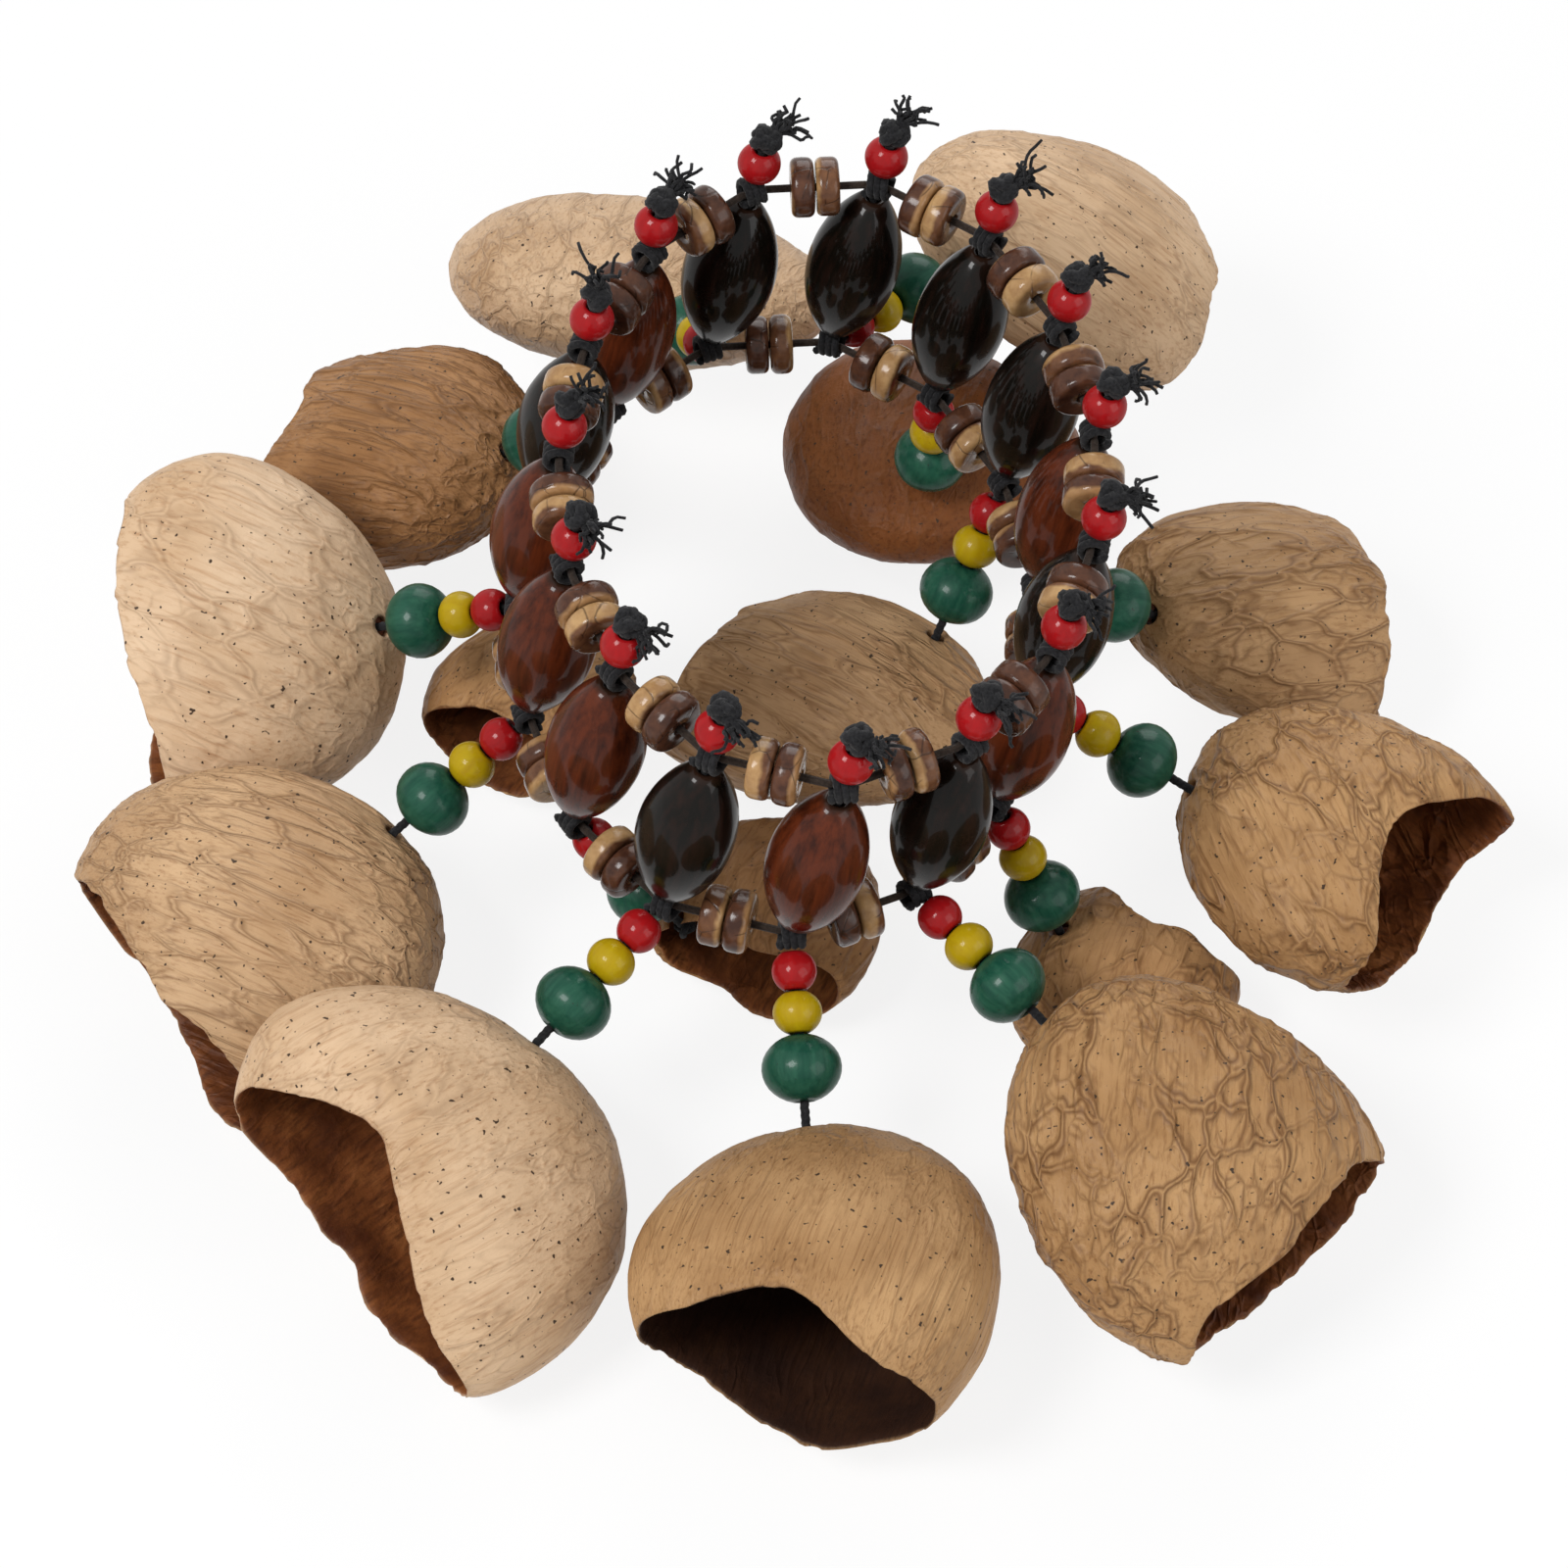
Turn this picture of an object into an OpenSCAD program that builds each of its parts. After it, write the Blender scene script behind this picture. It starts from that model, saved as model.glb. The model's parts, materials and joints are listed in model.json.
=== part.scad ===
// Nutshell shaker bracelet. Fifteen open nutshells hang on beaded threads from a band of
// spindle beads and coconut discs, and knock together when the wrist shakes.
// Millimetres, +Z up. The origin lies on the table, under the middle of the piece.

/* [Band] */
// Length of a spindle bead
spindle_len = 24; // [18:0.5:30]
// Greatest diameter of a spindle bead
spindle_d = 12.4; // [10:0.2:16]
// Diameter of a spindle bead's cut ends
spindle_end_d = 3.8; // [3:0.2:6]
// Diameter of a coconut disc
disc_d = 8.4; // [7:0.2:11]
// Thickness of a coconut disc
disc_t = 3; // [2:0.1:5]
// Width of the loop as a share of its depth
loop_ratio = 0.74; // [0.6:0.02:1]
// Lean of the band's beads to the side, in degrees
band_lean = 12; // [0:1:20]
// Slope of the loop, back higher than front, in degrees
loop_slope = 10; // [0:1:25]
// Height of the lower string's middle above the table
loop_height = 40; // [34:0.1:50]

/* [Cords] */
// Diameter of the two elastic strings
elastic_d = 1; // [0.6:0.1:1.4]
// Diameter of the cotton threads
thread_d = 1.2; // [0.8:0.1:1.4]
// Diameter of the thread's wrap around a string
wrap_d = 4.2; // [3.6:0.2:5]
// Diameter of the knot on top of a station
knot_d = 3.8; // [3:0.2:5]
// Diameter of the stop knot inside a nutshell
stop_d = 3.4; // [3:0.2:4]

/* [Strand beads] */
// Diameter of a red bead
red_d = 5.6; // [4:0.2:7]
// Diameter of a yellow bead
yellow_d = 6.2; // [4:0.2:8]
// Diameter of a green bead
green_d = 10; // [7:0.2:12]
// Bore of every strand bead
bead_bore = 1.8; // [1.6:0.1:2.4]
// Bare thread between the green bead and its nutshell
bare_len = 1.6; // [1.2:0.1:4]

/* [Nutshells] */
// Size of all nutshells against the sizes in the list
shell_scale = 1; // [0.8:0.02:1.1]
// Wall of a nutshell
shell_wall = 1.7; // [1.2:0.1:2.4]
// Angle from the closed end round to the mouth's cut, in degrees
mouth_angle = 123; // [105:1:140]
// Share by which one end of a nutshell is fuller than the other
shell_egg = 0.12; // [0:0.02:0.3]
// Bore of the thread's hole in a nutshell
hole_d = 3; // [2.4:0.1:4]

/* [Hidden] */
// Each row is a station: the strand's heading and rise, then the nutshell's
// heading, rise and roll, in degrees, as the piece lies on a table
lie = [
  [45, -5, 10, -35, 0],
  [100, -35, 80, -30, 0],
  [150, -45, 150, -20, 0],
  [250, -80, 250, -5, 0],
  [160, -30, 195, 0, -35],
  [205, -35, 215, -10, -20],
  [5, -60, 255, 0, 0],
  [225, -20, 230, -5, -30],
  [275, -30, 250, 5, 0],
  [315, -15, 320, -20, 0],
  [335, -65, 60, 0, 0],
  [345, -30, 320, 0, 0],
  [30, -40, 10, -20, 0],
  [225, -60, 155, -10, 0],
  [90, -75, 80, -10, 0]
];
// Depth, width and thickness of each nutshell
sizes = [
  [45, 40, 28], [36, 58, 24], [37, 41, 26], [26, 30, 18], [37, 50, 27],
  [40, 50, 28], [28, 32, 17], [38, 56, 27], [40, 46, 29], [44, 47, 29],
  [26, 30, 16], [40, 42, 27], [38, 38, 25], [42, 36, 22], [38, 44, 22]
];
stations = len(lie);
// The station at the front, and how far along the string it sits past the front
front_station = 8;
front_shift = 1.5;
// Place of the loop's middle over the table
loop_place = [-2.3, 3.9];
// Stations with a black spindle bead; the others are red-brown
black_stations = [0, 1, 3, 7, 9, 11, 13, 14];
round_fn = 48;
slack = 0.2;
elastic_bore = elastic_d + 0.6;
spindle_bore = thread_d + 0.6;
red_h = red_d * 0.85;
yellow_h = yellow_d * 0.82;
green_h = green_d * 0.82;
// Rise of a string above the end of a spindle bead
wrap_rise = wrap_d / 2 + slack;
string_gap = spindle_len + 2 * wrap_rise;
// Radius of the arc that a spindle bead is turned to
spindle_sag = (spindle_d - spindle_end_d) / 2;
spindle_arc = (pow(spindle_len / 2, 2) + pow(spindle_sag, 2)) / (2 * spindle_sag);
function spindle_r(h) = spindle_d / 2 - spindle_arc + sqrt(pow(spindle_arc, 2) - h * h);
// Room at a station between its middle and the first disc
shoulder = spindle_r(spindle_len / 2 - max(0, disc_d / 2 - wrap_rise));
disc_tilt = sqrt(pow(tan(band_lean), 2) + pow(tan(loop_slope), 2));
seat = shoulder + disc_d / 2 * disc_tilt + 3.5 * slack;
pitch = 2 * (disc_t + seat) + slack;

// The loop is an ellipse, and stations sit at even steps along its length
steps = 240;
function unit_pt(t) = [loop_ratio * cos(t), sin(t)];
function chord(i) = norm(unit_pt((i + 1) * 360 / steps) - unit_pt(i * 360 / steps));
run = [for (i = 0, s = 0; i <= steps; s = s + chord(i), i = i + 1) [s, i * 360 / steps]];
unit_run = run[steps][0];
half_depth = stations * pitch / unit_run;
function part_of(x) = x - floor(x);
function share(i) = part_of(0.75 + (front_shift / pitch + i - front_station) / stations);
function turn(i) = lookup(share(i) * unit_run, run);
function loop_pt(t) = half_depth * [
  loop_ratio * cos(t), sin(t) * cos(loop_slope), sin(t) * sin(loop_slope)
];
leaning = [sin(band_lean), 0, cos(band_lean)];
function lower(i) = [loop_place[0], loop_place[1], loop_height] + loop_pt(turn(i));
function upper(i) = lower(i) + string_gap * leaning;

// Directions by heading and rise
function aim(heading, rise) = [
  cos(heading) * cos(rise), sin(heading) * cos(rise), sin(rise)
];
function unit(v) = v / norm(v);
function strand_dir(i) = aim(lie[i][0], lie[i][1]);
red_at = wrap_d / 2 + slack + red_h / 2;
yellow_at = red_at + red_h / 2 + slack + yellow_h / 2;
green_at = yellow_at + yellow_h / 2 + slack + green_h / 2;
strand_len = green_at + green_h / 2 + bare_len;
function hole(i) = lower(i) + strand_len * strand_dir(i);

// A nutshell turns its back to its thread: its hole sits where its surface faces the bead
function semi(i) = shell_scale * [
  sizes[i][0] / (1 - cos(mouth_angle)), sizes[i][1] / 2, sizes[i][2] / 2
];
function shell_axis(i) = aim(lie[i][2], lie[i][3]);
function flat_side(i) = [-sin(lie[i][2]), cos(lie[i][2]), 0];
function flat_top(i) = cross(shell_axis(i), flat_side(i));
function shell_side(i) = flat_side(i) * cos(lie[i][4]) + flat_top(i) * sin(lie[i][4]);
function shell_top(i) = flat_top(i) * cos(lie[i][4]) - flat_side(i) * sin(lie[i][4]);
function facing(i) = [
  -strand_dir(i) * shell_axis(i), -strand_dir(i) * shell_side(i), -strand_dir(i) * shell_top(i)
];
function times(a, b) = [a[0] * b[0], a[1] * b[1], a[2] * b[2]];
function hole_local(i) = times(times(semi(i), semi(i)), facing(i))
  / norm(times(semi(i), facing(i)));
function middle(i) = hole(i) - shell_axis(i) * hole_local(i)[0]
  - shell_side(i) * hole_local(i)[1] - shell_top(i) * hole_local(i)[2];

// A nutshell's surface: rings from the closed end to a wavy mouth
rings = 8;
sides = 20;
function mouth_at(i, v) = mouth_angle + 5 * cos(v - 110 * i) + 2 * sin(3 * v + 40 * i)
  + 1.5 * sin(5 * v + 70 * i);
function fuller(s) = 1 + shell_egg * s;
function skin_pt(s, q, v) = let (e = sin(q) * cos(v)) [
  -s[0] * cos(q) * fuller(e), s[1] * e, s[2] * sin(q) * sin(v) * fuller(e)
];
function skin(i, s) = [
  for (k = [1:rings], j = [0:sides - 1])
    let (v = j * 360 / sides) skin_pt(s, mouth_at(i, v) * k / rings, v)
];
function ring_faces(from, flip) = [
  for (k = [0:rings - 2], j = [0:sides - 1], half = [0, 1])
    let (
      a = from + k * sides + j,
      b = from + k * sides + (j + 1) % sides,
      f = half == 0 ? [a, b, b + sides] : [a, b + sides, a + sides]
    ) flip ? [f[2], f[1], f[0]] : f
];
function cap_faces(from, pole, flip) = [
  for (j = [0:sides - 1])
    let (f = [pole, from + (j + 1) % sides, from + j]) flip ? [f[2], f[1], f[0]] : f
];

module bead(d, h, bore) {
  rotate_extrude($fn = round_fn)
    intersection() {
      circle(d = d, $fn = round_fn);
      translate([bore / 2, -h / 2])
        square([d, h]);
    }
}

module disc() {
  edge = disc_t * 0.14;
  rotate_extrude($fn = round_fn)
    polygon([
      [elastic_bore / 2, -disc_t / 2], [disc_d / 2 - edge, -disc_t / 2],
      [disc_d / 2, edge - disc_t / 2], [disc_d / 2, disc_t / 2 - edge],
      [disc_d / 2 - edge, disc_t / 2], [elastic_bore / 2, disc_t / 2]
    ]);
}

module spindle() {
  rotate_extrude($fn = round_fn)
    intersection() {
      translate([spindle_d / 2 - spindle_arc, 0])
        circle(r = spindle_arc, $fn = 2 * round_fn);
      translate([spindle_bore / 2, -spindle_len / 2])
        square([spindle_d, spindle_len]);
    }
}

// Turns +Z to point along v
module along(v) {
  rotate([0, acos(v[2] / norm(v)), atan2(v[1], v[0])])
    children();
}

// A cord through every station of a string
module string_cord(pts) {
  n = len(pts);
  cuts = 8;
  ahead = [for (i = [0:n - 1]) unit(pts[(i + 1) % n] - pts[(i + n - 1) % n])];
  inward = [for (i = [0:n - 1]) unit(cross([0, 0, 1], ahead[i]))];
  ring = [
    for (i = [0:n - 1], j = [0:cuts - 1])
      pts[i] + elastic_d / 2 * (cos(j * 360 / cuts) * inward[i]
        + sin(j * 360 / cuts) * cross(ahead[i], inward[i]))
  ];
  polyhedron(ring, [
    for (i = [0:n - 1], j = [0:cuts - 1], half = [0, 1])
      let (
        a = i * cuts + j,
        b = i * cuts + (j + 1) % cuts,
        c = ((i + 1) % n) * cuts + (j + 1) % cuts,
        d = ((i + 1) % n) * cuts + j
      ) half == 0 ? [a, c, b] : [a, d, c]
  ]);
}

// Each corner of a string is cut short, as a cord bends round it
bend = 0.1;
function rounded(pts) = [
  for (i = [0:stations - 1], f = [bend, 1 - bend])
    pts[i] * (1 - f) + pts[(i + 1) % stations] * f
];
lowers = [for (i = [0:stations - 1]) lower(i)];
uppers = [for (i = [0:stations - 1]) upper(i)];

module upper_elastic() {
  color("#3a2f28") string_cord(rounded(uppers));
}

module lower_elastic() {
  color("#3a2f28") string_cord(rounded(lowers));
}

// Two discs sit on the straight of a string between stations
module discs(pts, pale) {
  for (i = [0:stations - 1], k = [0, 1])
    if (pale == ((i * 5 + k * 3) % 7 < 3)) {
      ahead = pts[(i + 1) % stations] - pts[i];
      translate((pts[i] + pts[(i + 1) % stations]) / 2)
        along(ahead)
          translate([0, 0, (k - 0.5) * (disc_t + slack)])
            disc();
    }
}

module upper_dark_discs() {
  color("#4a3226") discs(uppers, false);
}

module upper_pale_discs() {
  color("#a9773f") discs(uppers, true);
}

module lower_dark_discs() {
  color("#4a3226") discs(lowers, false);
}

module lower_pale_discs() {
  color("#a9773f") discs(lowers, true);
}

function is_black(i) = len(search(i, black_stations)) > 0;

module spindles(black) {
  for (i = [0:stations - 1])
    if (is_black(i) == black)
      translate((lower(i) + upper(i)) / 2)
        along(leaning)
          spindle();
}

module black_spindles() {
  color("#231a17") spindles(true);
}

module brown_spindles() {
  color("#5c2d1c") spindles(false);
}

top_red_at = wrap_d / 2 + slack + red_h / 2;
knot_at = top_red_at + red_h / 2 + knot_d / 2 + slack / 2;

module top_red_beads() {
  color("#c21f24")
    for (i = [0:stations - 1])
      translate(upper(i))
        along(leaning)
          translate([0, 0, top_red_at])
            bead(red_d, red_h, bead_bore);
}

function string_dir(pts, i) = unit(pts[(i + 1) % stations] - pts[(i + stations - 1) % stations]);

// Thread wrapped round a string, with the string's way left open through it
module wrap(pts, i) {
  translate(pts[i])
    along(string_dir(pts, i))
      bead(wrap_d, wrap_d * 0.75, elastic_d + 1.2);
}

// The thread of each station from its lower wrap to its upper wrap and top knot
module station_threads() {
  color("#141414")
    for (i = [0:stations - 1]) {
      wrap(lowers, i);
      wrap(uppers, i);
      translate(lower(i))
        along(leaning)
          translate([0, 0, wrap_d / 2 - 0.6])
            cylinder(d = thread_d, h = string_gap - wrap_d + 1.2, $fn = round_fn);
      translate(upper(i))
        along(leaning)
          translate([0, 0, wrap_d / 2 - 0.6])
            cylinder(d = thread_d, h = knot_at - wrap_d / 2 + 0.6, $fn = round_fn);
    }
}

module top_knots() {
  color("#141414")
    for (i = [0:stations - 1])
      translate(upper(i))
        along(leaning)
          translate([0, 0, knot_at])
            difference() {
              union() {
                sphere(d = knot_d, $fn = round_fn);
                rotate([0, 55, turn(i)])
                  cylinder(d1 = knot_d * 0.4, d2 = knot_d, h = knot_d * 1.5, $fn = round_fn);
              }
              translate([0, 0, -knot_d])
                cylinder(d = bead_bore, h = knot_d + 0.8, $fn = round_fn);
            }
}

// Beads on a strand
module strand_beads(i) {
  translate(lower(i))
    along(strand_dir(i)) {
      color("#c21f24") translate([0, 0, red_at]) bead(red_d, red_h, bead_bore);
      color("#e0c818") translate([0, 0, yellow_at]) bead(yellow_d, yellow_h, bead_bore);
      color("#1f5c4a") translate([0, 0, green_at]) bead(green_d, green_h, bead_bore);
    }
}

// Thread of a strand, with its stop knot inside the nutshell
module strand_thread(i) {
  first = wrap_d / 2 + 0.35;
  last = strand_len + shell_wall + 0.9 + stop_d / 2;
  color("#141414")
    translate(lower(i))
      along(strand_dir(i)) {
        translate([0, 0, first])
          cylinder(d = thread_d, h = last - first, $fn = round_fn);
        translate([0, 0, last])
          sphere(d = stop_d, $fn = round_fn);
      }
}

module nutshell(i) {
  s = semi(i);
  inner = s - shell_wall * [1, 1, 1];
  n = rings * sides;
  points = concat(skin(i, s), skin(i, inner), [[-s[0], 0, 0], [-inner[0], 0, 0]]);
  last = (rings - 1) * sides;
  rim = [
    for (j = [0:sides - 1], half = [0, 1])
      let (a = last + j, b = last + (j + 1) % sides)
        half == 0 ? [a, b, b + n] : [a, b + n, a + n]
  ];
  color("#c9a376")
    difference() {
      translate(middle(i))
        rotate([0, 0, lie[i][2]])
          rotate([0, -lie[i][3], 0])
            rotate([lie[i][4], 0, 0])
              polyhedron(points, concat(
                ring_faces(0, false), ring_faces(n, true), rim,
                cap_faces(0, 2 * n, false), cap_faces(n, 2 * n + 1, true)
              ));
      translate(hole(i))
        along(strand_dir(i))
          translate([0, 0, -3])
            cylinder(d = hole_d, h = 3 + 3 * shell_wall, $fn = round_fn);
    }
}

function two(i) = i < 9 ? str("0", i + 1) : str(i + 1);
BAND_NODES = [
  "upper_elastic", "lower_elastic", "upper_dark_discs", "upper_pale_discs",
  "lower_dark_discs", "lower_pale_discs", "black_spindles", "brown_spindles",
  "top_red_beads", "station_threads", "top_knots"
];

upper_elastic();
lower_elastic();
upper_dark_discs();
upper_pale_discs();
lower_dark_discs();
lower_pale_discs();
black_spindles();
brown_spindles();
top_red_beads();
station_threads();
top_knots();
for (i = [0:stations - 1]) {
  strand_thread(i);
  strand_beads(i);
  nutshell(i);
}
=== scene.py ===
import json
import math
import random

import bmesh
import bpy
import numpy as np
from mathutils import Matrix, Vector, noise
from mathutils.bvhtree import BVHTree
from mathutils.kdtree import KDTree


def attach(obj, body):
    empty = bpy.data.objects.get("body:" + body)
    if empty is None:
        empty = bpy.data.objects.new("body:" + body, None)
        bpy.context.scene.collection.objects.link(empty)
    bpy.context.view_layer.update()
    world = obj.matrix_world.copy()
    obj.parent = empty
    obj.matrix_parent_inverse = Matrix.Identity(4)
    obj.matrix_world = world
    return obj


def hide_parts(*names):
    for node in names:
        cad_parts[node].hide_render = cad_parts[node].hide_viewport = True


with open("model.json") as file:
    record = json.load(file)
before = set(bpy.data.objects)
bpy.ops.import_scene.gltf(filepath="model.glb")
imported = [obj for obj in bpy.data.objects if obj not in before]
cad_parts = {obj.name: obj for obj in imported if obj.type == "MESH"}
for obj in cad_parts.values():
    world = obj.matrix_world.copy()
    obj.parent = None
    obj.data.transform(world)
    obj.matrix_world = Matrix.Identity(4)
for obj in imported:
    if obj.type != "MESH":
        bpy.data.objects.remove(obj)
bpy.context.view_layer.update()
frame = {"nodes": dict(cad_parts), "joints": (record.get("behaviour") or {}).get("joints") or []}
scene = bpy.context.scene
MM = 0.001
STATIONS = 15
TAGS = ["%02d" % (i + 1) for i in range(STATIONS)]


def unit(v):
    v = np.asarray(v, float)
    return v / np.linalg.norm(v)


# Where each strand hangs on the lower string, and where its thread enters the nutshell

lower = {}
hole = {}
for joint in frame["joints"]:
    places = lower if joint["child"].startswith("strand") else hole
    places[joint["child"][-2:]] = np.array(joint["pos_m"])


def solids(node):
    """The separate solids of a CAD node, as arrays of points."""
    mesh = frame["nodes"][node].data
    co = np.array([v.co for v in mesh.vertices], float)
    key = {}
    same = [key.setdefault(tuple(np.round(p * 1e6).astype(int)), i) for i, p in enumerate(co)]
    root = list(range(len(co)))

    def find(i):
        while root[i] != i:
            root[i] = root[root[i]]
            i = root[i]
        return i

    for i, s in enumerate(same):
        root[find(i)] = find(s)
    for e in mesh.edges:
        root[find(e.vertices[0])] = find(e.vertices[1])
    groups = {}
    for i in range(len(co)):
        groups.setdefault(find(i), []).append(i)
    found = [co[sorted(set(same[i] for i in g))] for g in groups.values()]
    return sorted(found, key=lambda p: tuple(np.round(p.mean(0), 5)))


def main_axis(pts, longest):
    """The direction in which points lie farthest apart, or least far."""
    c = pts - pts.mean(0)
    _, v = np.linalg.eigh(c.T @ c)
    return v[:, 2] if longest else v[:, 0]


def span(pts, axis):
    """Length along an axis, and the middle of it."""
    t = pts @ axis
    return t.max() - t.min(), (t.max() + t.min()) / 2


def width(pts, axis):
    """Diameter of a turned solid."""
    c = pts - pts.mean(0)
    return 2 * np.linalg.norm(c - np.outer(c @ axis, axis), axis=1).max()


def middle_along(pts, axis):
    """Centre of a turned solid: its mean across the axis and its middle along it."""
    _, mid = span(pts, axis)
    c = pts.mean(0)
    return c + axis * (mid - c @ axis)


def basis(axis):
    """Two directions square to an axis."""
    a = unit(axis)
    side = unit(np.cross(a, [0, 0, 1.0] if abs(a[2]) < 0.9 else [1.0, 0, 0]))
    return side, np.cross(a, side)


# Meshes

LATHE_SIDES = 36
PLY_DEPTH = 0.20


def set_value(mesh, name, rows):
    """Gives each point of a mesh a number or a vector."""
    rows = np.asarray(rows, np.float32)
    kind, field = ("FLOAT", "value") if rows.ndim == 1 else ("FLOAT_VECTOR", "vector")
    mesh.attributes.new(name, kind, "POINT").data.foreach_set(field, rows.ravel())


def show(mesh, name, body, replaced):
    """Puts a mesh into the scene as a piece that rides a body and replaces a CAD node."""
    mesh.polygons.foreach_set("use_smooth", [True] * len(mesh.polygons))
    mesh.update()
    obj = bpy.data.objects.new(name, mesh)
    scene.collection.objects.link(obj)
    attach(obj, body)
    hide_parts(replaced)


class Build:
    """Gathers points, faces and per-point values of one piece."""

    def __init__(self):
        self.points = []
        self.faces = []
        self.slots = []
        self.values = {}

    def add(self, points, faces, slot=0, **values):
        base = len(self.points)
        self.points.extend(points)
        self.faces.extend([tuple(base + k for k in f) for f in faces])
        self.slots.extend([slot] * len(faces))
        for name, rows in values.items():
            self.values.setdefault(name, []).append(rows)

    def piece(self, name, materials, body, replaced):
        mesh = bpy.data.meshes.new(name)
        mesh.from_pydata([tuple(p) for p in self.points], [], self.faces)
        for m in materials:
            mesh.materials.append(m)
        mesh.polygons.foreach_set("material_index", self.slots)
        for key, rows in self.values.items():
            set_value(mesh, key, np.concatenate(rows))
        show(mesh, name, body, replaced)


def tube(path, radius, sides, plies, twist):
    """A cord of twisted plies along points, with one radius or a radius for each point."""
    path = np.asarray(path, float)
    ahead = np.gradient(path, axis=0)
    ahead /= np.linalg.norm(ahead, axis=1)[:, None]
    side, _ = basis(ahead[0])
    run = 0.0
    pts = []
    for k, p in enumerate(path):
        side = unit(side - ahead[k] * (side @ ahead[k]))
        up = np.cross(ahead[k], side)
        if k:
            run += np.linalg.norm(p - path[k - 1])
        r = radius[k] if hasattr(radius, "__len__") else radius
        for s in range(sides):
            a = 2 * math.pi * s / sides
            q = r * (1 - PLY_DEPTH + PLY_DEPTH * abs(math.cos(plies / 2 * (a - twist * run))))
            pts.append(p + q * (math.cos(a) * side + math.sin(a) * up))
    n = len(path)
    faces = []
    for k in range(n - 1):
        for s in range(sides):
            t = (s + 1) % sides
            faces.append((k * sides + s, k * sides + t, (k + 1) * sides + t, (k + 1) * sides + s))
    faces.append(tuple(range(sides - 1, -1, -1)))
    faces.append(tuple((n - 1) * sides + s for s in range(sides)))
    return pts, faces


def lathe(profile, centre, axis, wobble, sides=LATHE_SIDES):
    """A closed profile of (radius, height) turned round an axis. Wobble makes the radius uneven."""
    side, up = basis(axis)
    n = len(profile)
    pts = []
    for s in range(sides):
        a = 2 * math.pi * s / sides
        d = math.cos(a) * side + math.sin(a) * up
        for r, h in profile:
            pts.append(centre + r * wobble(a, r, h) * d + h * np.asarray(axis))
    faces = []
    for s in range(sides):
        t = (s + 1) % sides
        for k in range(n):
            m = (k + 1) % n
            faces.append((t * n + k, t * n + m, s * n + m, s * n + k))
    return pts, faces


# Materials

VEIN_BROWN = (0.15, 0.068, 0.026)
SPECK_BROWN = (0.05, 0.03, 0.018)
FIBRE_BROWN = (0.085, 0.026, 0.010)
HOLLOW_NEAR_BLACK = (0.016, 0.009, 0.007)
CRACK_BROWN = (0.014, 0.007, 0.004)
END_BROWN = (0.022, 0.010, 0.006)
CHIP_BROWN = (0.02, 0.012, 0.01)
FINE_BUMP = 0.3 * MM
VEIN_HEIGHT = 0.32 * MM


def new_material(name):
    """A material, its nodes, and its main shader."""
    m = bpy.data.materials.new(name)
    m.use_nodes = True
    t = m.node_tree
    return m, t, t.nodes["Principled BSDF"]


def add(tree, kind, **inputs):
    """A node. The prefix p_ sets a property, and i0, i1 and so on are inputs by number."""
    n = tree.nodes.new(kind)
    for key, v in inputs.items():
        if key.startswith("p_"):
            setattr(n, key[2:], v)
    for key, v in inputs.items():
        if key.startswith("p_"):
            continue
        socket = n.inputs[int(key[1:])] if key[0] == "i" and key[1:].isdigit() else n.inputs[key]
        if isinstance(v, bpy.types.NodeSocket):
            tree.links.new(v, socket)
        else:
            socket.default_value = v
    return n


def point(tree):
    """The place on the object."""
    return add(tree, "ShaderNodeTexCoord").outputs["Object"]


def attribute(tree, name):
    """A per-point value of the mesh."""
    return add(tree, "ShaderNodeAttribute", p_attribute_name=name)


def grain(tree, vector, scale, detail=4.0, rough=0.55):
    """Noise from 0 to 1."""
    n = add(tree, "ShaderNodeTexNoise", Vector=vector, Scale=scale, Detail=detail, Roughness=rough)
    return n.outputs["Fac"]


def stretched(tree, vector, by):
    """A vector scaled by a factor for each axis."""
    return add(tree, "ShaderNodeMapping", Vector=vector, Scale=by).outputs["Vector"]


def ramp(tree, value, *stops):
    """A colour that runs through stops of (value, colour)."""
    n = add(tree, "ShaderNodeValToRGB", Fac=value)
    e = n.color_ramp.elements
    while len(e) < len(stops):
        e.new(0.5)
    for s, (at, colour) in zip(e, stops):
        s.position = at
        s.color = (*colour, 1)
    return n.outputs["Color"]


def level(tree, value, low, high):
    """A value spread so that low gives 0 and high gives 1."""
    n = add(tree, "ShaderNodeMapRange", Value=value)
    n.inputs["From Min"].default_value = low
    n.inputs["From Max"].default_value = high
    return n.outputs["Result"]


def mix(tree, share, a, b, kind="MIX"):
    """Two colours mixed. Each input is a socket or a value."""
    n = add(tree, "ShaderNodeMix", p_data_type="RGBA", p_blend_type=kind)
    for socket, v in ((n.inputs["Factor"], share), (n.inputs[6], a), (n.inputs[7], b)):
        if isinstance(v, bpy.types.NodeSocket):
            tree.links.new(v, socket)
        elif isinstance(v, (tuple, list)):
            socket.default_value = (*v, 1)
        else:
            socket.default_value = v
    return n.outputs[2]


def math_node(tree, kind, a, b=0.0):
    """Arithmetic on two sockets or numbers."""
    return add(tree, "ShaderNodeMath", p_operation=kind, i0=a, i1=b).outputs[0]


def bump(tree, shader, height, strength, distance):
    """Fine relief in a shader."""
    n = add(tree, "ShaderNodeBump", Height=height, Strength=strength, Distance=distance)
    tree.links.new(n.outputs["Normal"], shader.inputs["Normal"])


def shine(shader, specular, coat=0.0, coat_roughness=0.03):
    """How a surface shines: its own gloss, and the varnish over it."""
    shader.inputs["Specular IOR Level"].default_value = specular
    shader.inputs["Coat Weight"].default_value = coat
    shader.inputs["Coat Roughness"].default_value = coat_roughness


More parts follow.
